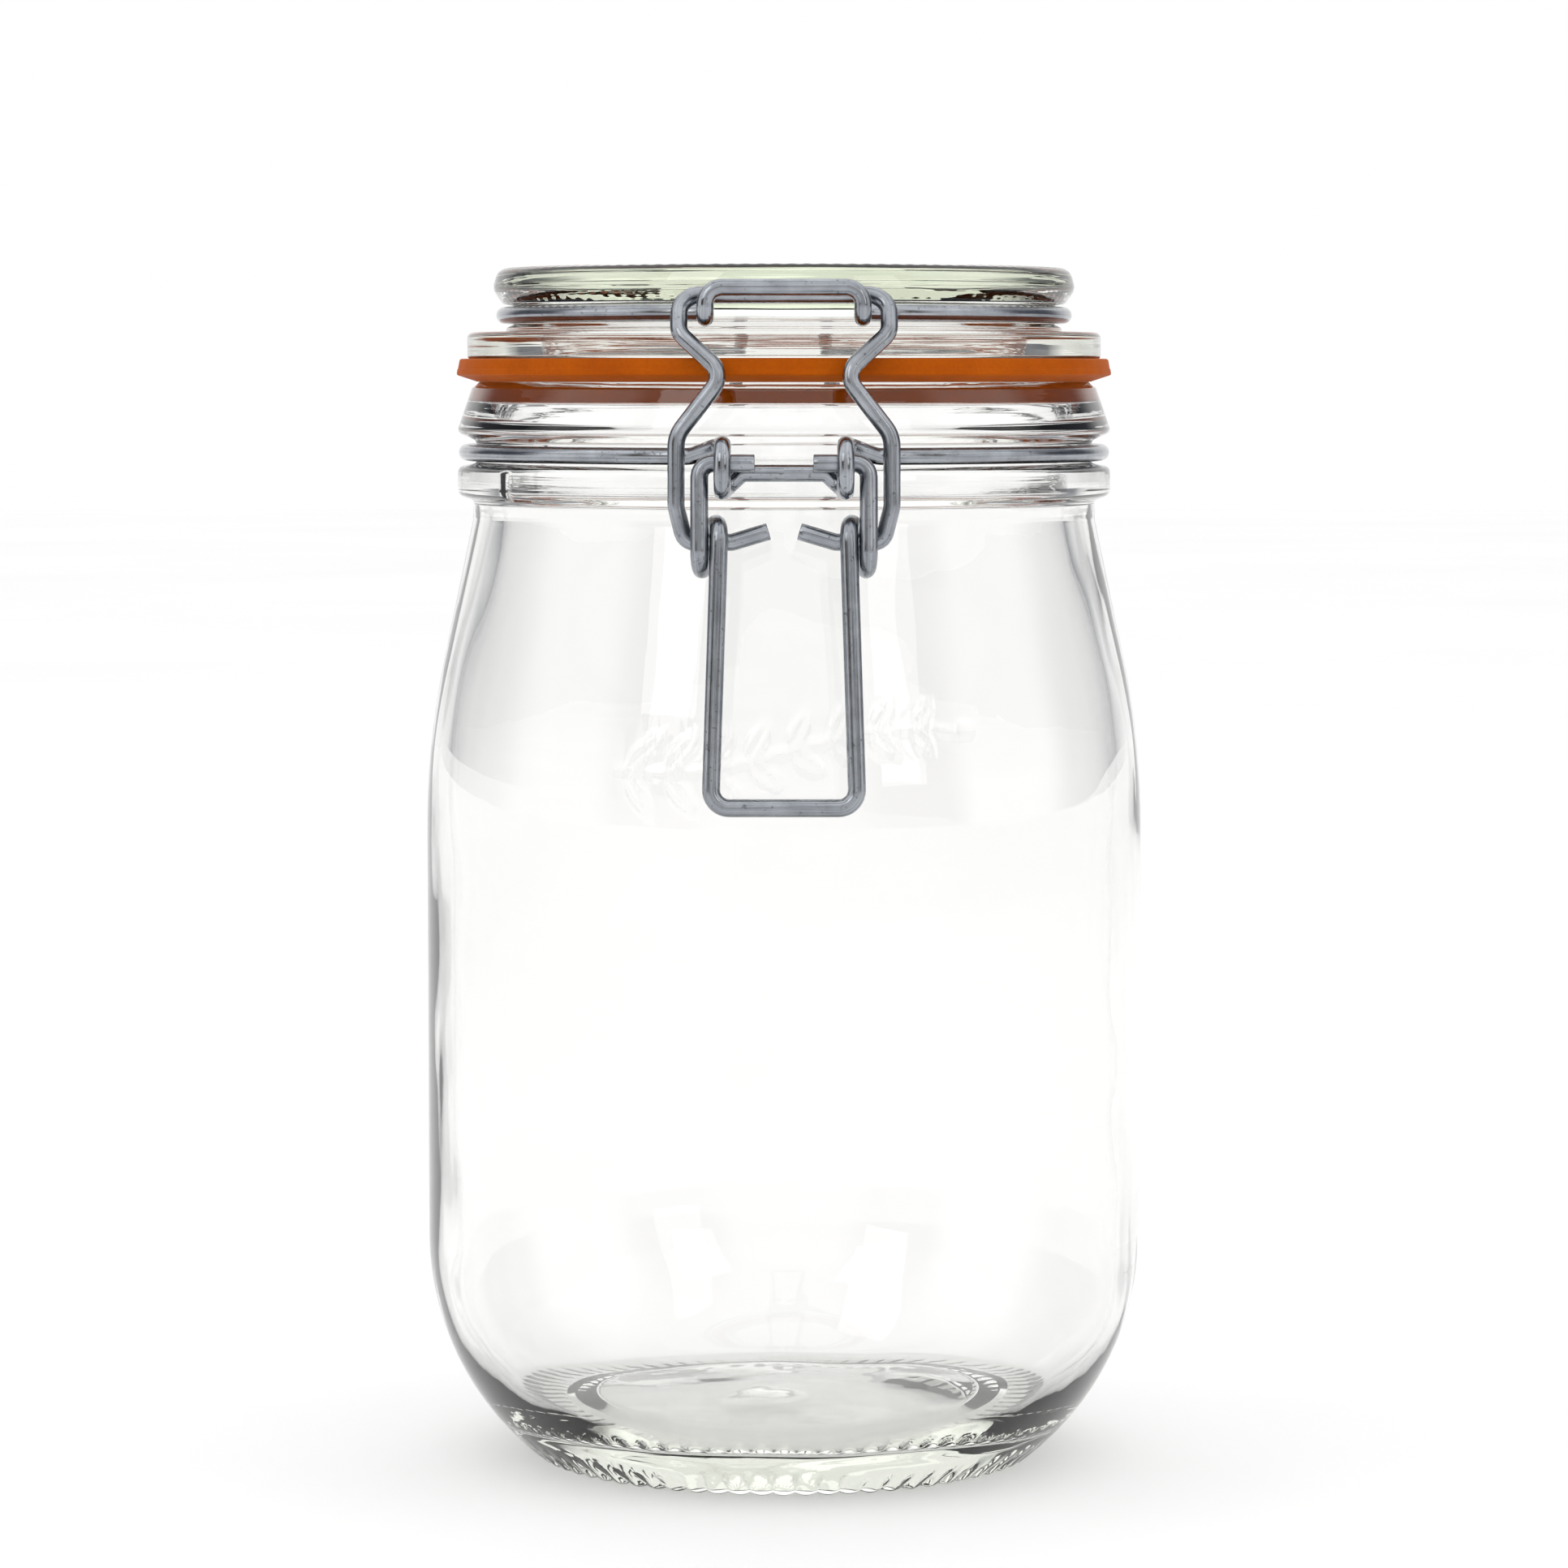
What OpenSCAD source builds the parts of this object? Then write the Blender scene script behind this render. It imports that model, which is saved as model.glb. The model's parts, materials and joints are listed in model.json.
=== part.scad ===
// Bail clamp jar: a glass preserving jar whose glass lid is pulled down on a
// rubber ring by a wire toggle clamp at the front and turns on a wire hinge at
// the back. Millimetres. Z is up, the clamp faces -Y, the jar's axis is Z.

/* [Jar] */
// Outside diameter of the body
body_d = 109; // [108:0.5:109.5]
// Height of the sealing rim above the surface the jar stands on
rim_h = 164; // [150:1:200]
// Thickness of the glass in the straight wall
wall = 3.3; // [2.5:0.1:3.8]
// Thickness of the glass under the contents
floor_t = 8; // [6:0.5:8.5]
// Diameter of the flat ring that the jar stands on
foot_d = 76; // [74:1:78]
// Bore of the mouth
mouth_d = 85; // [84:0.5:85.5]

/* [Lid] */
// Diameter of the flange that presses on the rubber ring
flange_d = 96.2; // [94:0.2:97]
// Diameter of the rounded top edge
lid_top_d = 88.5; // [87:0.5:88.5]
// Height of the lid's top above the sealing rim
lid_rise = 17.1; // [16.5:0.1:18]

/* [Rubber ring] */
// Outside diameter of the rubber ring
gasket_d = 99.6; // [98:0.2:100]
// Thickness of the rubber ring
gasket_t = 3.3; // [3:0.1:3.4]

/* [Wires] */
// Wire diameter of the rings and the bail
wire_d = 2.5; // [2.3:0.05:2.5]
// Wire diameter of the lever
lever_d = 2.6; // [2.4:0.05:2.6]

/* [Clamp] */
// Length of the lever below its pivot
lever_reach = 49.1; // [42:0.1:60]
// Half the width of the lever's grip
grip_half = 10.5; // [9.5:0.5:12]
// Half the width of the catch on the lid
catch_half = 11.3; // [11:0.1:11.5]

/* [Hidden] */

$fn = 96;
glass = "#dfeae4";
zinc = "#8b949e";
rubber = "#c4610a";

body_r = body_d / 2;
foot_r = foot_d / 2;
mouth_r = mouth_d / 2;
wire_r = wire_d / 2;
lever_r = lever_d / 2;

// the turned neck
neck_r = 47.2;
bead_r = 49.6;
groove_r = 46.8;
bead_foot_z = rim_h - 18;
bead_top_z = rim_h - 12.9;
groove_top_z = rim_h - 9;

// the wire ring round the neck and the hinge bar behind it
neck_ring_r = 48.2;
neck_ring_z = rim_h - 10.7;
hinge_y = 54.45;
hinge_z = neck_ring_z;
hinge_half = 12;
knuckle_x = 8;

// the toggle: the lever turns on the pivot, the bail turns on the crank pin
pivot = [-53.2, rim_h - 11.6];
crank = [-51.9, rim_h - 22.9];
eye_r = 2.65;

// the lid and its wire
gasket_z = rim_h + 0.1;
flange_z = gasket_z + gasket_t;
lid_top_z = rim_h + lid_rise;
lid_ring_r = 42.45;
lid_ring_z = rim_h + 10;
lid_groove_r = 41.05;

// ---------- outlines ----------

function unit(v) = v / norm(v);

// Points of a corner q between p and s, rounded to radius rad
function round_corner(p, q, s, rad, steps) =
    let (
        u = unit(p - q),
        v = unit(s - q),
        half = acos(u * v) / 2,
        centre = q + unit(u + v) * rad / sin(half),
        from = q + u * rad / tan(half) - centre,
        to = q + v * rad / tan(half) - centre,
        start = atan2(from[1], from[0]),
        turn = (atan2(to[1], to[0]) - start + 540) % 360 - 180
    )
    [for (i = [0:steps])
        centre + rad * [cos(start + turn * i / steps), sin(start + turn * i / steps)]];

// Outline through corners given as [r, z, rounding]
function rounded(corners) =
    let (n = len(corners))
    [for (i = [0:n - 1])
        let (
            q = corners[i],
            flat = [for (k = [-1, 0, 1]) [corners[(i + k + n) % n][0], corners[(i + k + n) % n][1]]]
        )
        each q[2] == 0 ? [flat[1]]
            : round_corner(flat[0], flat[1], flat[2], q[2], q[2] > 20 ? 10 : 5)];

module turned(corners) {
    rotate_extrude() polygon(rounded(corners));
}

// ---------- bent wire ----------

function direction(points, i) = unit(points[i + 1] - points[i]);

// Length of straight wire that the bend at point i takes up on each side
function setback(points, bends, i) =
    (i == 0 || i == len(points) - 1) ? 0
        : bends[i] * tan(acos(direction(points, i - 1) * direction(points, i)) / 2);

// Each straight runs a little way into the bend beside it, and a bend is drawn
// a hair slimmer, so that the two join along a clean circle
lap = 0.08;
slim = 0.02;

module straight(from, to, u, r) {
    translate(from - u * lap)
        rotate([0, acos(u[2]), atan2(u[1], u[0])])
            cylinder(r = r, h = norm(to - from) + 2 * lap);
}

module bend_between(corner, u, v, bend, r) {
    turn = acos(u * v);
    inward = unit(v - (u * v) * u);
    centre = corner - u * bend * tan(turn / 2) + inward * bend;
    side = cross(-inward, u);
    multmatrix([
        [-inward[0], u[0], side[0], centre[0]],
        [-inward[1], u[1], side[1], centre[1]],
        [-inward[2], u[2], side[2], centre[2]],
        [0, 0, 0, 1]
    ])
        rotate_extrude(angle = turn) translate([bend, 0]) circle(r = r - slim);
}

// Round wire through the points, bent to bends[i] at each point between the ends
module wire(points, bends, r) {
    last = len(points) - 1;
    for (i = [0:last - 1]) {
        u = direction(points, i);
        straight(
            points[i] + u * setback(points, bends, i),
            points[i + 1] - u * setback(points, bends, i + 1),
            u,
            r
        );
    }
    for (i = [1:last - 1])
        bend_between(points[i], direction(points, i - 1), direction(points, i), bends[i], r);
}

// Wire that is alike on both sides: half of it is given, from the middle outwards
module symmetric_wire(half, bends, r) {
    last = len(half) - 1;
    wire(
        concat(
            [for (i = [last:-1:0]) [-half[i][0], half[i][1], half[i][2]]],
            half
        ),
        concat([for (i = [last:-1:0]) bends[i]], bends),
        r
    );
}

// Point of a ring, at an angle counted from the front towards +X
function on_ring(ring_r, angle, z) = [ring_r * sin(angle), -ring_r * cos(angle), z];

// Where the ring's tangent at that angle crosses the plane at x
function tangent_at(ring_r, angle, z, x) =
    let (p = on_ring(ring_r, angle, z), slide = (x - p[0]) / cos(angle))
    p + slide * [cos(angle), sin(angle), 0];

// Ring of wire from angle a to angle b on the +X side
module ring_arc(ring_r, z, a, b, r) {
    translate([0, 0, z]) rotate([0, 0, a - 90])
        rotate_extrude(angle = b - a) translate([ring_r, 0]) circle(r = r - slim);
}

module both_sides() {
    children();
    mirror([1, 0, 0]) children();
}

// ---------- the pieces ----------

// Blown glass body: foot, round heel, straight wall, shoulder, two beads and the rim.
// Inside, the neck is hollowed a little behind the upper bead.
module jar_body() {
    in_r = body_r - wall;
    color(glass) turned([
        [0, 3.6, 0],
        [foot_r - 8, 1.6, 0],
        [foot_r - 4.5, 0, 0.8],
        [foot_r, 0, 1.5],
        [body_r, 13.95, 43],
        [body_r, rim_h - 55.4, 130],
        [neck_r, rim_h - 20.8, 5],
        [neck_r, bead_foot_z, 0.8],
        [bead_r, bead_foot_z + 0.9, 1.2],
        [bead_r, bead_top_z, 1],
        [groove_r, bead_top_z + 0.6, 0.4],
        [groove_r, groove_top_z, 0.6],
        [bead_r + 0.15, groove_top_z + 1.4, 0.9],
        [47.4, rim_h - 0.9, 0.8],
        [46.2, rim_h, 0.4],
        [mouth_r, rim_h, 0.9],
        [mouth_r, rim_h - 1.1, 0.3],
        [46, rim_h - 3.5, 0.6],
        [46, rim_h - 6.5, 1.5],
        [43.6, rim_h - 10.5, 3],
        [43, rim_h - 21, 6],
        [in_r, rim_h - 55, 90],
        [in_r, 17.4, 27],
        [in_r - 10.9, floor_t, 2.5],
        [0, floor_t + 1.4, 0]
    ]);
}

// Wire ring in the neck's groove, with two eyelets in front and the hinge bar behind
module neck_band() {
    eyelet_x = 8.8;
    front_angle = 18.8;
    back_angle = 161.9;
    top = pivot[1] + eye_r;
    bottom = top - 6.7;
    near = pivot[0] - eye_r;
    far = pivot[0] + eye_r;
    color(zinc) {
        symmetric_wire(
            [
                [6, -51, rim_h - 13.05],
                [eyelet_x, far, bottom],
                [eyelet_x, near, bottom],
                [eyelet_x, near, top],
                [eyelet_x, far, top],
                tangent_at(neck_ring_r, front_angle, neck_ring_z, 13.4),
                on_ring(neck_ring_r, front_angle, neck_ring_z)
            ],
            [1.6, 2.3, eye_r, eye_r, eye_r, 3, 0],
            wire_r
        );
        both_sides() ring_arc(neck_ring_r, neck_ring_z, front_angle, back_angle, wire_r);
        symmetric_wire(
            [
                [hinge_half, hinge_y, hinge_z],
                tangent_at(neck_ring_r, back_angle, neck_ring_z, hinge_half),
                on_ring(neck_ring_r, back_angle, neck_ring_z)
            ],
            [2.2, 1.8, 0],
            wire_r
        );
    }
}

// One wire: cut ends in the eyelets, outer arms, an eye each side, legs and a grip
module lever() {
    arm_x = 12.1;
    leg_x = 9.2;
    eye_top = crank[1] + eye_r;
    eye_foot = eye_top - 6.55;
    grip = [-57.05, pivot[1] - lever_reach];
    color(zinc) symmetric_wire(
        [
            [grip_half, grip[0], grip[1]],
            [leg_x, crank[0] - eye_r, eye_top],
            [leg_x + 1, crank[0] + eye_r, eye_top],
            [arm_x - 0.7, crank[0] + eye_r, eye_foot],
            [arm_x, crank[0] - 3.15, eye_foot],
            [arm_x, pivot[0], pivot[1]],
            [4.2, pivot[0], pivot[1]]
        ],
        [2.6, eye_r, eye_r, eye_r, eye_r, 2, 0],
        lever_r
    );
}

// One wire: crossbar under the catch, waist past the rubber, crank pins and turned-up ends
module bail() {
    shoulder_x = 15.1;
    low_x = 15.45;
    color(zinc) symmetric_wire(
        [
            [shoulder_x, -45.8, rim_h + 12.5],
            [shoulder_x, -48.9, rim_h + 7],
            [8.6, -51.5, rim_h + 1.1],
            [low_x, -51.7, rim_h - 7.7],
            [low_x, crank[0], rim_h - 17.8],
            [14.2, crank[0], crank[1]],
            [7.4, crank[0], crank[1]],
            [2.2, crank[0], crank[1] + 1.55]
        ],
        [3.1, 2.6, 2.8, 4.5, 4, 1.8, 1.8, 0],
        wire_r
    );
}

// Pressed glass lid: rounded top, groove for the wire, flange and a plug in the mouth
module lid() {
    top_r = lid_top_d / 2;
    color(glass) turned([
        [0, lid_top_z - 1.8, 0],
        [38, lid_top_z - 1.8, 0.5],
        [39.3, lid_top_z, 0.6],
        [top_r - 0.9, lid_top_z, 1.8],
        [top_r, lid_ring_z + 4, 1.8],
        [42.7, lid_ring_z + 1.7, 0.5],
        [lid_groove_r, lid_ring_z + 1.4, 0.3],
        [lid_groove_r, lid_ring_z - 1.4, 0.3],
        [42.2, lid_ring_z - 1.9, 0.3],
        [42.2, flange_z + 4.1, 0.3],
        [flange_d / 2, flange_z + 4, 0.9],
        [flange_d / 2, flange_z, 0.5],
        [41.6, flange_z, 0.3],
        [40.4, rim_h - 1.4, 0.8],
        [37.4, rim_h - 1.4, 0.8],
        [36.6, lid_top_z - 6.4, 2.5],
        [0, lid_top_z - 6, 0]
    ]);
}

// Wire ring round the lid: hooks and bridge of the catch in front, knuckles behind
module lid_wire() {
    front_angle = 20;
    back_angle = 160.7;
    hook_z = lid_ring_z - 1;
    bridge = [-50.1, rim_h + 13.5];
    near = hinge_y - eye_r;
    far = hinge_y + eye_r;
    color(zinc) {
        symmetric_wire(
            [
                [catch_half, bridge[0], bridge[1]],
                [catch_half, bridge[0], hook_z],
                tangent_at(lid_ring_r, front_angle, lid_ring_z, catch_half),
                on_ring(lid_ring_r, front_angle, lid_ring_z)
            ],
            [2.4, 1.5, 1.6, 0],
            wire_r
        );
        both_sides() ring_arc(lid_ring_r, lid_ring_z, front_angle, back_angle, wire_r);
        both_sides() wire(
            [
                on_ring(lid_ring_r, back_angle, lid_ring_z),
                tangent_at(lid_ring_r, back_angle, lid_ring_z, knuckle_x),
                [knuckle_x, near, lid_ring_z],
                [knuckle_x, near, hinge_z - eye_r],
                [knuckle_x, far, hinge_z - eye_r],
                [knuckle_x, far, hinge_z + eye_r],
                [knuckle_x, hinge_y, hinge_z + eye_r]
            ],
            [0, 1.6, 2.5, eye_r, eye_r, eye_r, 0],
            wire_r
        );
    }
}

// Rubber ring between the rim and the lid's flange, bevelled below
module gasket() {
    color(rubber) turned([
        [42, gasket_z, 0.3],
        [46.6, gasket_z, 0.5],
        [gasket_d / 2, gasket_z + 0.9, 0.3],
        [gasket_d / 2 - 0.5, flange_z, 0.4],
        [42, flange_z, 0.3]
    ]);
}

jar_body();
neck_band();
lever();
bail();
lid();
lid_wire();
gasket();
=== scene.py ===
import json
import math

import bmesh
import bpy
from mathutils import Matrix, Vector, noise


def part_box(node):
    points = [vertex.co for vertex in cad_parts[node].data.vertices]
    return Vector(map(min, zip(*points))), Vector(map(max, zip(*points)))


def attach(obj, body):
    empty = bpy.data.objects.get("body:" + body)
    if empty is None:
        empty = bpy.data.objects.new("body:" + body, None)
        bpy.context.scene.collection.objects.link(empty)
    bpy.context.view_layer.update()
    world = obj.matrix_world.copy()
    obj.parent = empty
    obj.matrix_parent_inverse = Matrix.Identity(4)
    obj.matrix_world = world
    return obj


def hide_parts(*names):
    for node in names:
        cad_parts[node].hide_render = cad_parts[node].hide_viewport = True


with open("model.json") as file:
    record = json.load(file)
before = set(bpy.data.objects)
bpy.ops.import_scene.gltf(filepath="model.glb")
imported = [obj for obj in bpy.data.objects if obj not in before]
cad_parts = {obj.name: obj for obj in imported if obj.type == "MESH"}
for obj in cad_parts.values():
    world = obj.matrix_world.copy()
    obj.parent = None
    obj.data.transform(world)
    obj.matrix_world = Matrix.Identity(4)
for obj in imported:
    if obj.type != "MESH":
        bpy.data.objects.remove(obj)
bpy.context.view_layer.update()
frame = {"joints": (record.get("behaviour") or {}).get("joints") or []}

MM = 0.001


# ---------- measures in millimetres: places from the frame, thicknesses as built ----------

def joint_at(name):
    """(y, z) of a joint's axis; every axis runs along X."""
    joint = next(j for j in frame["joints"] if j["name"] == name)
    return joint["pos_m"][1] / MM, joint["pos_m"][2] / MM


def top_of(node):
    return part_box(node)[1].z / MM


def front_of(node):
    return -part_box(node)[0].y / MM


PIVOT = joint_at("lever_pivot")
CRANK = joint_at("bail_crank")
HINGE = joint_at("lid_hinge")

RIM_Z = top_of("jar_body")
LID_TOP_Z = top_of("lid")
BODY_R = 54.5
NECK_R = 47.2
BEAD_R = 49.6
GROOVE_R = 46.8
MOUTH_R = 42.5
WALL = 3.3
FOOT_R = 38.0
FLOOR_Z = 8.0

GASKET_Z = RIM_Z + 0.1
FLANGE_Z = RIM_Z + 3.4
LID_RING_Z = RIM_Z + 10
LID_RING_R = 42.45
NECK_RING_Z = HINGE[1]
NECK_RING_R = 48.2

WIRE_R = 1.25
LEVER_R = 1.3
EYE_R = 2.65


# ---------- outlines and turned meshes ----------

def rounded(corners):
    """Points of an outline through corners given as (r, z, rounding)."""
    points = []
    count = len(corners)
    for i, (r, z, rad) in enumerate(corners):
        here = Vector((r, z))
        if rad == 0:
            points.append(here)
            continue
        u = (Vector(corners[i - 1][:2]) - here).normalized()
        v = (Vector(corners[(i + 1) % count][:2]) - here).normalized()
        half = u.angle(v) / 2
        centre = here + (u + v).normalized() * rad / math.sin(half)
        start = here + u * rad / math.tan(half) - centre
        end = here + v * rad / math.tan(half) - centre
        turn = math.pi - 2 * half
        if start.x * end.y - start.y * end.x < 0:
            turn = -turn
        steps = max(4, int(abs(turn) * rad / 2.5), int(abs(turn) / 0.22))
        for k in range(steps + 1):
            a = turn * k / steps
            points.append(centre + Vector((
                start.x * math.cos(a) - start.y * math.sin(a),
                start.x * math.sin(a) + start.y * math.cos(a),
            )))
    return points


def subdivided(points, longest):
    """The same outline with its long stretches cut into shorter ones."""
    out = []
    for a, b in zip(points, points[1:]):
        steps = max(1, math.ceil((b - a).length / longest))
        out += [a.lerp(b, k / steps) for k in range(steps)]
    return out + [points[-1]]


def new_object(name, bm):
    mesh = bpy.data.meshes.new(name)
    bm.normal_update()
    bm.to_mesh(mesh)
    bm.free()
    for face in mesh.polygons:
        face.use_smooth = True
    obj = bpy.data.objects.new(name, mesh)
    bpy.context.scene.collection.objects.link(obj)
    return obj


def turned_bmesh(outline, segments, shape=None):
    """An outline turned about Z. shape(r, z, angle, index) may move each point.

    The angle is counted from the front, which is -Y, towards +X. An outline that
    starts and ends on the axis is closed by its poles, any other one joins up.
    """
    bm = bmesh.new()
    closed = outline[0].x > 1e-6
    rings = []
    for i, p in enumerate(outline):
        if p.x < 1e-6:
            rings.append([bm.verts.new((0, 0, p.y * MM))])
            continue
        ring = []
        for k in range(segments):
            a = 2 * math.pi * k / segments
            r, z = shape(p.x, p.y, a, i) if shape else (p.x, p.y)
            ring.append(bm.verts.new((r * math.sin(a) * MM, -r * math.cos(a) * MM, z * MM)))
        rings.append(ring)
    pairs = list(zip(rings, rings[1:]))
    if closed:
        pairs.append((rings[-1], rings[0]))
    for low, high in pairs:
        for k in range(segments):
            n = (k + 1) % segments
            corners = [low[k % len(low)], low[n % len(low)], high[n % len(high)], high[k % len(high)]]
            bm.faces.new(list(dict.fromkeys(corners)))
    bmesh.ops.recalc_face_normals(bm, faces=bm.faces)
    return bm


# ---------- bent wire ----------

def bent(points, bends, step=0.45):
    """Centreline through the points, bent to bends[i] at each point between the ends."""
    points = [Vector(p) for p in points]
    out = [points[0]]
    for i in range(1, len(points) - 1):
        u = (points[i] - points[i - 1]).normalized()
        v = (points[i + 1] - points[i]).normalized()
        turn = u.angle(v)
        back = bends[i] * math.tan(turn / 2)
        inward = (v - u.dot(v) * u).normalized()
        centre = points[i] - u * back + inward * bends[i]
        steps = max(4, int(turn * bends[i] / step))
        for k in range(steps + 1):
            a = turn * k / steps
            out.append(centre + bends[i] * (u * math.sin(a) - inward * math.cos(a)))
    out.append(points[-1])
    return out


def mirrored(half):
    """A whole symmetric wire from its +X half, given from the middle outwards."""
    return [Vector((-p.x, p.y, p.z)) for p in reversed(half)] + half


def on_ring(ring_r, angle, z):
    return Vector((ring_r * math.sin(angle), -ring_r * math.cos(angle), z))


def tangent_at(ring_r, angle, z, x):
    """Where the ring's tangent at that angle crosses the plane at x."""
    p = on_ring(ring_r, angle, z)
    slide = (x - p.x) / math.cos(angle)
    return p + slide * Vector((math.cos(angle), math.sin(angle), 0))


def ring_points(ring_r, z, start, end, step=1.0):
    count = int(abs(end - start) * ring_r / step)
    return [on_ring(ring_r, start + (end - start) * k / count, z) for k in range(count + 1)]


def without_repeats(points, closed):
    out = [points[0]]
    for p in points[1:]:
        if (p - out[-1]).length > 0.02:
            out.append(p)
    if closed and (out[0] - out[-1]).length < 0.02:
        out.pop()
    return out


def evenly(points, closed, longest=1.2):
    """The same line with its long straights cut up."""
    out = []
    following = points[1:] + ([points[0]] if closed else [])
    for a, b in zip(points, following):
        steps = max(1, math.ceil((b - a).length / longest))
        out += [a.lerp(b, k / steps) for k in range(steps)]
    return out if closed else out + [points[-1]]


def wire(name, centreline, radius, closed=False, sides=20):
    """A drawn wire along the line, with a UV map whose U runs along the wire in centimetres."""
    line = evenly(without_repeats(centreline, closed), closed)
    count = len(line)
    bm = bmesh.new()
    uv = bm.loops.layers.uv.new("along")
    across = None
    rings = []
    lengths = [0.0]
    for i, p in enumerate(line):
        if closed:
            along = (line[(i + 1) % count] - line[i - 1]).normalized()
        else:
            along = (line[min(i + 1, count - 1)] - line[max(i - 1, 0)]).normalized()
        if across is None:
            across = along.orthogonal().normalized()
        across = (across - across.dot(along) * along).normalized()
        up = along.cross(across)
        rings.append([
            bm.verts.new((p + radius * (across * math.cos(a) + up * math.sin(a))) * MM)
            for a in (2 * math.pi * k / sides for k in range(sides))
        ])
        lengths.append(lengths[-1] + (line[(i + 1) % count] - p).length)
    shift = 0
    if closed:
        first = (rings[0][0].co - line[0] * MM).normalized()
        last = [(v.co - line[-1] * MM).normalized().dot(first) for v in rings[-1]]
        shift = last.index(max(last))
    spans = range(count if closed else count - 1)
    for i in spans:
        wrap = i == count - 1
        for k in range(sides):
            n = (k + 1) % sides
            off = -shift if wrap else 0
            a, b = rings[i][k], rings[i][n]
            c, d = rings[(i + 1) % count][(n + off) % sides], rings[(i + 1) % count][(k + off) % sides]
            face = bm.faces.new((a, b, c, d))
            for loop, (u, v) in zip(face.loops, (
                (lengths[i], k), (lengths[i], k + 1), (lengths[i + 1], k + 1), (lengths[i + 1], k)
            )):
                loop[uv].uv = (u * 0.1, v / sides)
    if not closed:
        cut_end(bm, uv, rings[0], line[0], line[1], radius)
        cut_end(bm, uv, rings[-1], line[-1], line[-2], radius)
    bmesh.ops.recalc_face_normals(bm, faces=bm.faces)
    return new_object(name, bm)


def cut_end(bm, uv, ring, end, before, radius):
    """Closes a wire with the slightly rounded, sheared face that a cutter leaves."""
    outward = (end - before).normalized()
    rim = []
    for v in ring:
        rim.append(bm.verts.new(end * MM + (v.co - end * MM) * 0.93))
        v.co -= outward * 0.09 * MM
    for k, v in enumerate(ring):
        n = (k + 1) % len(ring)
        bm.faces.new((ring[k], ring[n], rim[n], rim[k]))
    face = bm.faces.new(rim)
    for loop in face.loops:
        spoke = loop.vert.co / MM - end
        loop[uv].uv = (spoke.x / radius * 0.1, spoke.z / radius * 0.1)


# ---------- shader helpers ----------

def material(name):
    mat = bpy.data.materials.new(name)
    mat.use_nodes = True
    nodes = mat.node_tree.nodes
    shader = nodes["Principled BSDF"]
    return mat, nodes, mat.node_tree.links, shader


def put(nodes, kind, **inputs):
    """A node with its inputs set by name or number, as in put(nodes, kind, Scale=4)."""
    node = nodes.new(kind)
    for key, value in inputs.items():
        node.inputs[key.replace("_", " ")].default_value = value
    return node


def ramp(nodes, stops):
    node = nodes.new("ShaderNodeValToRGB")
    elements = node.color_ramp.elements
    while len(elements) < len(stops):
        elements.new(0.5)
    for element, (place, colour) in zip(elements, stops):
        element.position = place
        element.color = (*colour, 1)
    return node


def grey(value):
    return (value, value, value)


def stretched(nodes, links, output, scale):
    mapping = nodes.new("ShaderNodeMapping")
    mapping.inputs["Scale"].default_value = scale
    links.new(output, mapping.inputs["Vector"])
    return mapping.outputs["Vector"]


def noise_at(nodes, links, vector, scale, detail=3.0, roughness=0.5):
    node = put(nodes, "ShaderNodeTexNoise", Scale=scale, Detail=detail, Roughness=roughness)
    links.new(vector, node.inputs["Vector"])
    return node.outputs["Fac"]


def bump(nodes, links, height, strength, distance, normal=None):
    node = put(nodes, "ShaderNodeBump", Strength=strength, Distance=distance)
    links.new(height, node.inputs["Height"])
    if normal:
        links.new(normal, node.inputs["Normal"])
    return node.outputs["Normal"]


# ---------- materials ----------

def glass_material(name, density, tooled_from):
    """Soda glass: clear, faintly wavy, olive where the light's way through it is long.

    Above the height tooled_from, in metres, the spinning tool left fine level streaks.
    """
    mat, nodes, links, shader = material(name)
    shader.inputs["Base Color"].default_value = (0.982, 0.979, 0.977, 1)
    shader.inputs["Transmission Weight"].default_value = 1.0
    shader.inputs["IOR"].default_value = 1.5
    place = nodes.new("ShaderNodeTexCoord").outputs["Object"]
    haze = noise_at(nodes, links, place, 55.0, 4.0, 0.6)
    film = ramp(nodes, [(0.45, grey(0.0)), (0.85, grey(0.05))])
    links.new(haze, film.inputs["Fac"])
    links.new(film.outputs["Color"], shader.inputs["Roughness"])
    ripple = noise_at(nodes, links, stretched(nodes, links, place, (70, 70, 28)), 1.0, 2.0, 0.4)
    wavy = bump(nodes, links, ripple, 0.10, 0.0012)
    streaks = noise_at(nodes, links, stretched(nodes, links, place, (7, 7, 420)), 1.0, 3.0, 0.6)
    height = nodes.new("ShaderNodeSeparateXYZ")
    links.new(place, height.inputs["Vector"])
    tooled = put(nodes, "ShaderNodeMapRange")
    tooled.inputs["From Min"].default_value = tooled_from
    tooled.inputs["From Max"].default_value = tooled_from + 0.004
    tooled.inputs["To Max"].default_value = 0.16
    links.new(height.outputs["Z"], tooled.inputs["Value"])
    scored = bump(nodes, links, streaks, 1.0, 0.00035, wavy)
    links.new(tooled.outputs["Result"], scored.node.inputs["Strength"])
    links.new(scored, shader.inputs["Normal"])
    tint = put(nodes, "ShaderNodeVolumeAbsorption", Density=density)
    tint.inputs["Color"].default_value = (0.76, 0.82, 0.62, 1)
    links.new(tint.outputs["Volume"], nodes["Material Output"].inputs["Volume"])
    through = nodes.new("ShaderNodeBsdfTransparent")
    through.inputs["Color"].default_value = (0.96, 0.97, 0.96, 1)
    path = nodes.new("ShaderNodeLightPath")
    mix = nodes.new("ShaderNodeMixShader")
    links.new(path.outputs["Is Shadow Ray"], mix.inputs["Fac"])
    links.new(shader.outputs["BSDF"], mix.inputs[1])
    links.new(through.outputs["BSDF"], mix.inputs[2])
    links.new(mix.outputs["Shader"], nodes["Material Output"].inputs["Surface"])
    return mat


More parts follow.
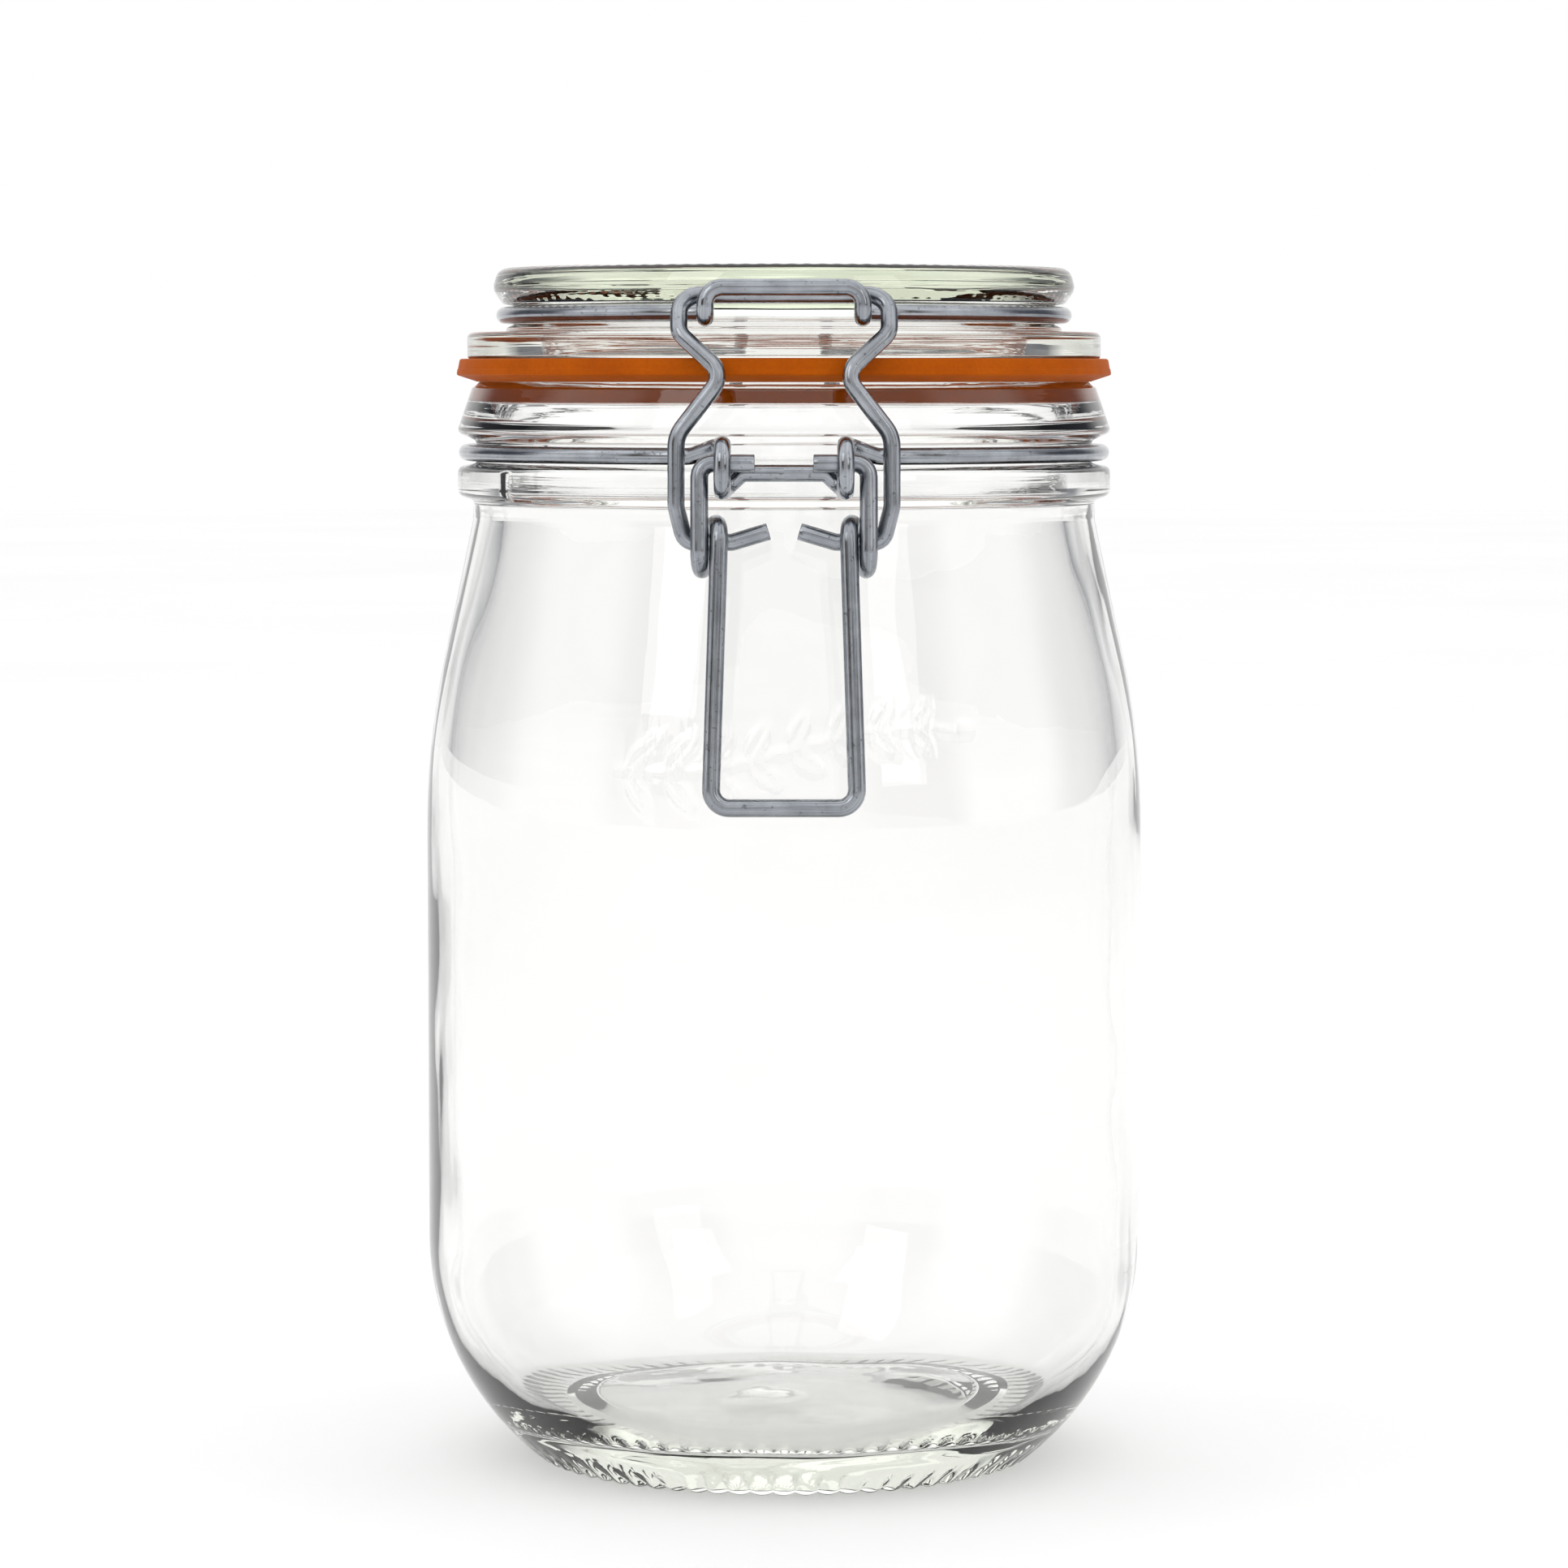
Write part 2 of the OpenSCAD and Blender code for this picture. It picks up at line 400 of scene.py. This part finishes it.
def zinc_material(name, smooth, dull):
    """Zinc plated drawn wire: grey, with fine lines along the wire and small dark pits.

    Its roughness goes from smooth to dull with the lines.
    """
    mat, nodes, links, shader = material(name)
    uv = nodes.new("ShaderNodeUVMap")
    uv.uv_map = "along"
    place = nodes.new("ShaderNodeTexCoord").outputs["Object"]
    lines = noise_at(nodes, links, stretched(nodes, links, uv.outputs["UV"], (0.35, 26, 1)), 1.0, 5.0, 0.65)
    patches = noise_at(nodes, links, place, 260.0, 3.0, 0.55)
    pits = noise_at(nodes, links, place, 1500.0, 2.0, 0.6)
    colour = ramp(nodes, [
        (0.28, (0.12, 0.13, 0.15)), (0.42, (0.29, 0.31, 0.34)), (0.58, (0.38, 0.40, 0.43)), (0.75, (0.58, 0.60, 0.63))
    ])
    links.new(lines, colour.inputs["Fac"])
    cloud = ramp(nodes, [(0.35, grey(0.78)), (0.65, grey(1.0))])
    links.new(patches, cloud.inputs["Fac"])
    specks = ramp(nodes, [(0.30, grey(0.55)), (0.36, grey(1.0))])
    links.new(pits, specks.inputs["Fac"])
    clouded = multiply(nodes, links, colour.outputs["Color"], cloud.outputs["Color"])
    links.new(multiply(nodes, links, clouded, specks.outputs["Color"]), shader.inputs["Base Color"])
    shader.inputs["Metallic"].default_value = 1.0
    rough = ramp(nodes, [(0.3, grey(smooth)), (0.7, grey(dull))])
    links.new(lines, rough.inputs["Fac"])
    links.new(rough.outputs["Color"], shader.inputs["Roughness"])
    grain = bump(nodes, links, lines, 0.35, 0.00008)
    links.new(bump(nodes, links, pits, 0.12, 0.00003, grain), shader.inputs["Normal"])
    return mat


def multiply(nodes, links, a, b):
    node = nodes.new("ShaderNodeMix")
    node.data_type = "RGBA"
    node.blend_type = "MULTIPLY"
    node.inputs["Factor"].default_value = 1.0
    links.new(a, node.inputs[6])
    links.new(b, node.inputs[7])
    return node.outputs[2]


def rubber_material():
    """Dull orange moulded rubber with a fine grain and faint bloom."""
    mat, nodes, links, shader = material("orange_rubber")
    place = nodes.new("ShaderNodeTexCoord").outputs["Object"]
    grain = noise_at(nodes, links, place, 1700.0, 3.0, 0.6)
    bloom = noise_at(nodes, links, place, 90.0, 4.0, 0.6)
    colour = ramp(nodes, [(0.3, (0.36, 0.066, 0.001)), (0.55, (0.43, 0.084, 0.001)), (0.8, (0.48, 0.106, 0.004))])
    links.new(bloom, colour.inputs["Fac"])
    speckle = ramp(nodes, [(0.3, grey(0.88)), (0.6, grey(1.0))])
    links.new(grain, speckle.inputs["Fac"])
    links.new(multiply(nodes, links, colour.outputs["Color"], speckle.outputs["Color"]), shader.inputs["Base Color"])
    rough = ramp(nodes, [(0.3, grey(0.48)), (0.7, grey(0.64))])
    links.new(grain, rough.inputs["Fac"])
    links.new(rough.outputs["Color"], shader.inputs["Roughness"])
    shader.inputs["Specular IOR Level"].default_value = 0.05
    shader.inputs["Subsurface Weight"].default_value = 0.04
    shader.inputs["Subsurface Radius"].default_value = (0.002, 0.0008, 0.0003)
    links.new(bump(nodes, links, grain, 0.25, 0.00004), shader.inputs["Normal"])
    return mat


def floor_material():
    """Matt white sweep, with a trace of unevenness."""
    mat, nodes, links, shader = material("sweep")
    place = nodes.new("ShaderNodeTexCoord").outputs["Object"]
    tone = ramp(nodes, [(0.3, grey(0.90)), (0.7, grey(0.93))])
    links.new(noise_at(nodes, links, place, 2.0), tone.inputs["Fac"])
    links.new(tone.outputs["Color"], shader.inputs["Base Color"])
    shader.inputs["Roughness"].default_value = 0.9
    shader.inputs["Specular IOR Level"].default_value = 0.1
    return mat


# ---------- glass body ----------

RIBS = 72
RIB_STEPS = 8
RIB_DEPTH = 0.42
SEAM_HEIGHT = 0.10
MARK_DEPTH = 0.45
MARK_HALF_W = 0.9
MARK_ANGLE = math.radians(-56)


def smooth_step(low, high, x):
    t = min(1.0, max(0.0, (x - low) / (high - low)))
    return t * t * (3 - 2 * t)


def between(low, high, soft, x):
    return smooth_step(low - soft, low, x) * (1 - smooth_step(high, high + soft, x))


def jar_outline():
    """(points of the outside from the base to the rim, points of the inside back down)."""
    in_r = BODY_R - WALL
    corners = [
        (0, 4.6, 0),
        (29.5, 3.6, 2),
        (FOOT_R - 5.2, 0.5, 1.2),
        (FOOT_R - 3.6, 0, 0.8),
        (FOOT_R, 0, 1.5),
        (BODY_R, 13.95, 43),
        (BODY_R, RIM_Z - 55.4, 130),
        (NECK_R, RIM_Z - 20.8, 5),
        (NECK_R, RIM_Z - 18, 0.8),
        (BEAD_R, RIM_Z - 17.1, 1.2),
        (BEAD_R, RIM_Z - 12.9, 1),
        (GROOVE_R, RIM_Z - 12.3, 0.4),
        (GROOVE_R, RIM_Z - 9, 0.6),
        (BEAD_R + 0.15, RIM_Z - 7.6, 0.9),
        (47.4, RIM_Z - 0.9, 0.8),
        (46.2, RIM_Z, 0.4),
        (MOUTH_R, RIM_Z, 0.9),
        (MOUTH_R, RIM_Z - 1.1, 0.3),
        (46.0, RIM_Z - 3.5, 0.6),
        (46.0, RIM_Z - 6.5, 1.5),
        (43.6, RIM_Z - 10.5, 3),
        (43, RIM_Z - 21, 6),
        (in_r, RIM_Z - 55, 90),
        (in_r, 17.4, 27),
        (in_r - 10.9, FLOOR_Z, 2.5),
        (0, FLOOR_Z + 1.4, 0),
    ]
    return subdivided(rounded(corners), 3.0)


def make_jar():
    outline = jar_outline()
    rim_index = max(range(len(outline)), key=lambda i: (outline[i].y, outline[i].x))

    def shape(r, z, angle, index):
        if index <= rim_index:
            return outside(r, z, angle)
        return inside(r, z, angle)

    bm = turned_bmesh(outline, RIBS * RIB_STEPS, shape)
    emboss(bm)
    return new_object("jar_glass", bm)


def outside(r, z, angle):
    """Ribs round the ring that the jar stands on, a tool mark in the lower bead and two seams."""
    groove = 1 - abs(math.cos(RIBS * angle / 2))
    foot = between(36.6, 39.2, 0.8, r) * (1 - smooth_step(1.6, 2.8, z))
    cut = RIB_DEPTH * foot * groove
    z += cut
    r -= cut * 0.5 * smooth_step(37.4, 38.6, r)
    seam = sum(math.exp(-(((math.sin(angle) - side) * r / 0.5) ** 2) * 40) for side in (-1, 1))
    r += SEAM_HEIGHT * seam * between(8, RIM_Z - 20, 3, z)
    away = math.remainder(angle - MARK_ANGLE, 2 * math.pi) * r
    r -= MARK_DEPTH * math.exp(-((away / MARK_HALF_W) ** 2)) * between(RIM_Z - 17, RIM_Z - 13.6, 0.6, z)
    return min(r, BODY_R), z


def inside(r, z, angle):
    """The blown side: never quite round, and thicker here and there."""
    spot = Vector((math.sin(angle) * 1.3, math.cos(angle) * 1.3, z * 0.028))
    body = between(12, RIM_Z - 30, 14, z)
    r -= body * (0.30 + 0.55 * noise.noise(spot) + 0.10 * noise.noise(spot * 3.1))
    if r < 44 and z < 16:
        bulge = noise.noise(Vector((r * 0.05 * math.sin(angle), r * 0.05 * math.cos(angle), 4.2)))
        z += 0.9 * bulge * (1 - smooth_step(34, 44, r))
    return r, z


# ---------- the raised sprig on the shoulder ----------

SPRIG_Z = 111.0
SPRIG_HALF_W = 31.0
SPRIG_HALF_H = 14.0
SPRIG_HEIGHT = 0.34
SPRIG_CUTS = 3


def leaf(u, v, base_u, base_v, tilt, length, width):
    """Height of one leaf, with a sunken vein, at (u, v) in millimetres."""
    du, dv = u - base_u, v - base_v
    along = (du * math.cos(tilt) + dv * math.sin(tilt)) / length
    if not 0 < along < 1:
        return 0.0
    side = abs(-du * math.sin(tilt) + dv * math.cos(tilt))
    half = width * math.sin(math.pi * along ** 0.8) ** 0.9
    blade = smooth_step(0, 0.8, half - side)
    return blade * (1 - 0.55 * (1 - smooth_step(0.15, 0.6, side)))


def stem_v(u):
    return 3.2 * math.sin(u * 0.085)


def sprig(u, v):
    """Height, from 0 to 1, of a plain leafy sprig that lies along u."""
    if abs(u) > SPRIG_HALF_W - 1 or abs(v) > SPRIG_HALF_H - 1:
        return 0.0
    height = 0.0
    if abs(u) < 26:
        height = 1 - smooth_step(0.35, 0.95, abs(v - stem_v(u)))
    for k in range(8):
        base = -24 + 6.2 * k
        slope = math.atan(0.27 * math.cos(base * 0.085))
        for turn in (0.85, -0.85):
            height = max(height, leaf(u, v, base, stem_v(base), slope + turn, 9.0 - 0.45 * k, 1.9))
    return max(height, leaf(u, v, 25, stem_v(25), 0.05, 6.0, 1.5))


def emboss(bm):
    """Refines the glass over the sprig and raises it."""
    window = []
    for face in bm.faces:
        centre = face.calc_center_median() / MM
        outer = math.hypot(centre.x, centre.y) > 50.6 and face.normal.dot(Vector((centre.x, centre.y, 0))) > 0
        near = centre.y < 0 and abs(centre.x) < SPRIG_HALF_W and abs(centre.z - SPRIG_Z) < SPRIG_HALF_H
        if outer and near:
            window.append(face)
    edges = list({edge for face in window for edge in face.edges})
    bmesh.ops.subdivide_edges(bm, edges=edges, cuts=SPRIG_CUTS, use_grid_fill=True)
    for vert in bm.verts:
        x, y, z = vert.co / MM
        if y > 0 or math.hypot(x, y) < 50.3 or abs(z - SPRIG_Z) > SPRIG_HALF_H:
            continue
        u = math.asin(max(-1.0, min(1.0, x / math.hypot(x, y)))) * BODY_R
        lift = SPRIG_HEIGHT * sprig(u, z - SPRIG_Z)
        if lift > 0 and abs(u) < SPRIG_HALF_W:
            out = Vector((x, y, 0)).normalized()
            vert.co += out * lift * MM


# ---------- lid ----------

LID_TEETH = 120
TOOTH_STEPS = 5
TOOTH_HEIGHT = 0.07
TOOTH_DEPTH = 0.05


def make_lid():
    corners = [
        (0, LID_TOP_Z - 1.8, 0),
        (38, LID_TOP_Z - 1.8, 0.5),
        (39.3, LID_TOP_Z, 0.6),
        (43.35, LID_TOP_Z, 1.8),
        (44.25, LID_RING_Z + 4, 1.8),
        (42.7, LID_RING_Z + 1.7, 0.5),
        (41.05, LID_RING_Z + 1.4, 0.3),
        (41.05, LID_RING_Z - 1.4, 0.3),
        (42.2, LID_RING_Z - 1.9, 0.3),
        (42.2, FLANGE_Z + 4.1, 0.3),
        (48.1, FLANGE_Z + 4, 0.9),
        (48.1, FLANGE_Z, 0.5),
        (41.6, FLANGE_Z, 0.3),
        (40.4, RIM_Z - 1.4, 0.8),
        (37.4, RIM_Z - 1.4, 0.8),
        (36.6, LID_TOP_Z - 6.4, 2.5),
        (0, LID_TOP_Z - 6, 0),
    ]

    def shape(r, z, angle, index):
        tooth = 0.5 + 0.5 * math.cos(LID_TEETH * angle)
        top = between(39.6, 42.4, 0.5, r) * smooth_step(LID_TOP_Z - 0.5, LID_TOP_Z - 0.1, z)
        under = between(42.3, 43.6, 0.4, r) * between(LID_RING_Z + 1.5, LID_RING_Z + 3.0, 0.4, z)
        z -= TOOTH_HEIGHT * tooth * top
        r -= TOOTH_DEPTH * tooth * under
        if z > LID_TOP_Z - 8 and r < 37:
            z += 0.12 * noise.noise(Vector((r * 0.08 * math.sin(angle), r * 0.08 * math.cos(angle), z)))
        return r, z

    outline = subdivided(rounded(corners), 2.0)
    return new_object("lid_glass", turned_bmesh(outline, LID_TEETH * TOOTH_STEPS, shape))


# ---------- rubber ring ----------

SQUEEZE = 0.03
RUBBER_STEPS = 288


def make_gasket():
    """The rubber wets both glasses: it sinks a hair into each, so it shows through them."""
    outer = front_of("gasket")
    under, top = RIM_Z - SQUEEZE, FLANGE_Z + SQUEEZE
    corners = [
        (42, under, 0.3),
        (46.6, under, 0.5),
        (outer, GASKET_Z + 0.9, 0.3),
        (outer - 0.12, GASKET_Z + 1.7, 0.2),
        (outer - 0.22, GASKET_Z + 1.85, 0.1),
        (outer - 0.5, top, 0.4),
        (42, top, 0.3),
    ]

    def shape(r, z, angle, index):
        squeeze = noise.noise(Vector((math.sin(angle) * 5, math.cos(angle) * 5, 1.5)))
        return r - 0.10 * (0.5 + squeeze) * smooth_step(46, 49, r), z

    return new_object("rubber_ring", turned_bmesh(rounded(corners), RUBBER_STEPS, shape))


# ---------- wires ----------

def make_neck_band():
    eyelet_x = 8.8
    front = math.radians(18.8)
    back = math.radians(161.9)
    top = PIVOT[1] + EYE_R
    bottom = top - 6.7
    near, far = PIVOT[0] - EYE_R, PIVOT[0] + EYE_R
    bar_z = RIM_Z - 13.05
    eyelet = bent(
        [
            (0, -51, bar_z), (6, -51, bar_z), (eyelet_x, far, bottom), (eyelet_x, near, bottom),
            (eyelet_x, near, top), (eyelet_x, far, top),
            tangent_at(NECK_RING_R, front, NECK_RING_Z, 13.4),
            on_ring(NECK_RING_R, front, NECK_RING_Z),
        ],
        [0, 1.6, 2.3, EYE_R, EYE_R, EYE_R, 3, 0],
    )
    ring = ring_points(NECK_RING_R, NECK_RING_Z, front, back)
    hinge = bent(
        [
            on_ring(NECK_RING_R, back, NECK_RING_Z),
            tangent_at(NECK_RING_R, back, NECK_RING_Z, 12),
            (12, HINGE[0], HINGE[1]),
            (0, HINGE[0], HINGE[1]),
        ],
        [0, 1.8, 2.2, 0],
    )
    half = eyelet + ring + hinge
    other = [Vector((-p.x, p.y, p.z)) for p in reversed(half)]
    return wire("neck_band_wire", half + other, WIRE_R, closed=True)


def make_lever():
    arm_x, leg_x, grip_x = 12.1, 9.2, 10.5
    eye_top = CRANK[1] + EYE_R
    eye_foot = eye_top - 6.55
    grip_y, grip_z = -57.05, PIVOT[1] - 49.1
    half = bent(
        [
            (0, grip_y, grip_z), (grip_x, grip_y, grip_z),
            (leg_x, CRANK[0] - EYE_R, eye_top), (leg_x + 1, CRANK[0] + EYE_R, eye_top),
            (arm_x - 0.7, CRANK[0] + EYE_R, eye_foot), (arm_x, CRANK[0] - 3.15, eye_foot),
            (arm_x, *PIVOT), (4.2, *PIVOT),
        ],
        [0, 2.6, EYE_R, EYE_R, EYE_R, EYE_R, 2, 0],
    )
    return wire("lever_wire", mirrored(half), LEVER_R)


def make_bail():
    low_x = 15.45
    half = bent(
        [
            (0, -45.8, RIM_Z + 12.5), (15.1, -45.8, RIM_Z + 12.5), (15.1, -48.9, RIM_Z + 7),
            (8.6, -51.5, RIM_Z + 1.1), (low_x, -51.7, RIM_Z - 7.7), (low_x, CRANK[0], RIM_Z - 17.8),
            (14.2, *CRANK), (7.4, *CRANK), (2.2, CRANK[0], CRANK[1] + 1.55),
        ],
        [0, 3.1, 2.6, 2.8, 4.5, 4, 1.8, 1.8, 0],
    )
    return wire("bail_wire", mirrored(half), WIRE_R)


def make_lid_wire():
    catch_x, bridge_y, knuckle_x = 11.3, -50.1, 8
    front = math.radians(20)
    back = math.radians(160.7)
    bridge_z = RIM_Z + 13.5
    near, far = HINGE[0] - EYE_R, HINGE[0] + EYE_R
    catch = bent(
        [
            (0, bridge_y, bridge_z), (catch_x, bridge_y, bridge_z), (catch_x, bridge_y, LID_RING_Z - 1),
            tangent_at(LID_RING_R, front, LID_RING_Z, catch_x),
            on_ring(LID_RING_R, front, LID_RING_Z),
        ],
        [0, 2.4, 1.5, 1.6, 0],
    )
    ring = ring_points(LID_RING_R, LID_RING_Z, front, back)
    leg = bent(
        [
            on_ring(LID_RING_R, back, LID_RING_Z),
            tangent_at(LID_RING_R, back, LID_RING_Z, knuckle_x),
            (knuckle_x, near, LID_RING_Z),
            (knuckle_x, near, HINGE[1] - EYE_R),
            (knuckle_x, far, HINGE[1] - EYE_R),
            (knuckle_x, far, HINGE[1] + EYE_R),
            (knuckle_x, HINGE[0] - 0.01, HINGE[1] + EYE_R),
        ],
        [0, 1.6, 2.5, EYE_R, EYE_R, EYE_R, 0],
    )
    return wire("lid_clip_wire", mirrored(catch + ring + leg), WIRE_R)


# ---------- stage, light and camera ----------

CAMERA_DISTANCE = 0.850
CAMERA_HEIGHT = 0.165
CAMERA_PITCH = math.radians(4.2)
CAMERA_LENS = 127.9
FLOOR_R = 6.0

# the room's brightness by degrees round from the front
ROOM = [
    (0, grey(0.80)), (20, grey(0.80)), (31, (0.13, 0.105, 0.085)), (55, (0.13, 0.105, 0.085)),
    (64, grey(1.2)), (94, grey(1.2)), (107, (0.17, 0.175, 0.20)), (136, (0.17, 0.175, 0.20)),
    (150, grey(0.96)), (180, grey(0.96)),
]


def make_floor(mat):
    bm = bmesh.new()
    bmesh.ops.create_circle(bm, cap_ends=True, segments=96, radius=FLOOR_R)
    floor = new_object("floor", bm)
    floor.data.materials.append(mat)


def soft_box(name, place, aim, width, height, power):
    light = bpy.data.lights.new(name, "AREA")
    light.shape = "RECTANGLE"
    light.size = width
    light.size_y = height
    light.energy = power
    obj = bpy.data.objects.new(name, light)
    obj.location = place
    obj.rotation_euler = (Vector(aim) - Vector(place)).to_track_quat("-Z", "Y").to_euler()
    bpy.context.scene.collection.objects.link(obj)
    return obj


def make_world():
    """Studio round the jar: a white backdrop behind, dark flags beside it, soft boxes at the
    sides, a dim room in front and a white ceiling. The flags draw the edges of glass and wire.
    """
    world = bpy.data.worlds.new("studio")
    bpy.context.scene.world = world
    world.use_nodes = True
    nodes, links = world.node_tree.nodes, world.node_tree.links
    nodes.clear()
    split = nodes.new("ShaderNodeSeparateXYZ")
    links.new(nodes.new("ShaderNodeTexCoord").outputs["Generated"], split.inputs["Vector"])
    aside = nodes.new("ShaderNodeMath")
    aside.operation = "ABSOLUTE"
    links.new(split.outputs["X"], aside.inputs[0])
    fold = nodes.new("ShaderNodeCombineXYZ")
    links.new(aside.outputs[0], fold.inputs["X"])
    links.new(split.outputs["Y"], fold.inputs["Y"])
    turn = nodes.new("ShaderNodeTexGradient")
    turn.gradient_type = "RADIAL"
    links.new(fold.outputs["Vector"], turn.inputs["Vector"])
    room = ramp(nodes, [(0.25 + degrees / 360, colour) for degrees, colour in ROOM])
    links.new(turn.outputs["Fac"], room.inputs["Fac"])
    roof = ramp(nodes, [(0.45, grey(0.0)), (0.80, grey(1.0))])
    links.new(split.outputs["Z"], roof.inputs["Fac"])
    lift = nodes.new("ShaderNodeMix")
    lift.data_type = "RGBA"
    links.new(roof.outputs["Color"], lift.inputs["Factor"])
    links.new(room.outputs["Color"], lift.inputs[6])
    lift.inputs[7].default_value = (1, 1, 1, 1)
    around = nodes.new("ShaderNodeBackground")
    links.new(lift.outputs[2], around.inputs["Color"])
    backdrop = nodes.new("ShaderNodeBackground")
    backdrop.inputs["Color"].default_value = (1, 1, 1, 1)
    path = nodes.new("ShaderNodeLightPath")
    mix = nodes.new("ShaderNodeMixShader")
    links.new(path.outputs["Is Camera Ray"], mix.inputs["Fac"])
    links.new(around.outputs["Background"], mix.inputs[1])
    links.new(backdrop.outputs["Background"], mix.inputs[2])
    out = nodes.new("ShaderNodeOutputWorld")
    links.new(mix.outputs["Shader"], out.inputs["Surface"])


def make_lights():
    soft_box("overhead", (0, 0.1, 1.5), (0, 0, 0), 2.6, 2.6, 1.5)
    soft_box("front_left", (-0.75, -0.95, 0.75), (0, 0, 0.12), 0.45, 0.7, 2)
    soft_box("front_right", (0.75, -0.95, 0.55), (0, 0, 0.12), 0.35, 0.7, 1.2)
    sky = bpy.data.lights.new("sky", "SUN")
    sky.energy = 0.72
    sky.angle = 2.4
    bpy.context.scene.collection.objects.link(bpy.data.objects.new("sky", sky))


def make_camera():
    data = bpy.data.cameras.new("camera")
    data.lens = CAMERA_LENS
    data.sensor_width = 36
    data.clip_end = 50
    camera = bpy.data.objects.new("camera", data)
    camera.location = (0, -CAMERA_DISTANCE, CAMERA_HEIGHT)
    camera.rotation_euler = (math.pi / 2 - CAMERA_PITCH, 0, 0)
    bpy.context.scene.collection.objects.link(camera)
    bpy.context.scene.camera = camera


# ---------- putting it together ----------

def fit(piece, node, body, mat):
    """Puts a piece in a CAD node's place, on its body, with its finish."""
    piece.data.materials.append(mat)
    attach(piece, body)
    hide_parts(node)


def build():
    rings = zinc_material("zinc_rings", 0.06, 0.14)
    clamp = zinc_material("zinc_clamp", 0.13, 0.27)
    fit(make_jar(), "jar_body", "jar", glass_material("jar_glass", 6.0, (RIM_Z - 21) * MM))
    fit(make_lid(), "lid", "lid", glass_material("lid_glass", 14.0, (RIM_Z - 10) * MM))
    fit(make_gasket(), "gasket", "lid", rubber_material())
    fit(make_neck_band(), "neck_band", "jar", rings)
    fit(make_lever(), "lever", "lever", clamp)
    fit(make_bail(), "bail", "bail", clamp)
    fit(make_lid_wire(), "lid_wire", "lid", rings)
    make_floor(floor_material())
    make_world()
    make_lights()
    make_camera()
    bpy.context.scene.view_settings.view_transform = "Standard"


build()
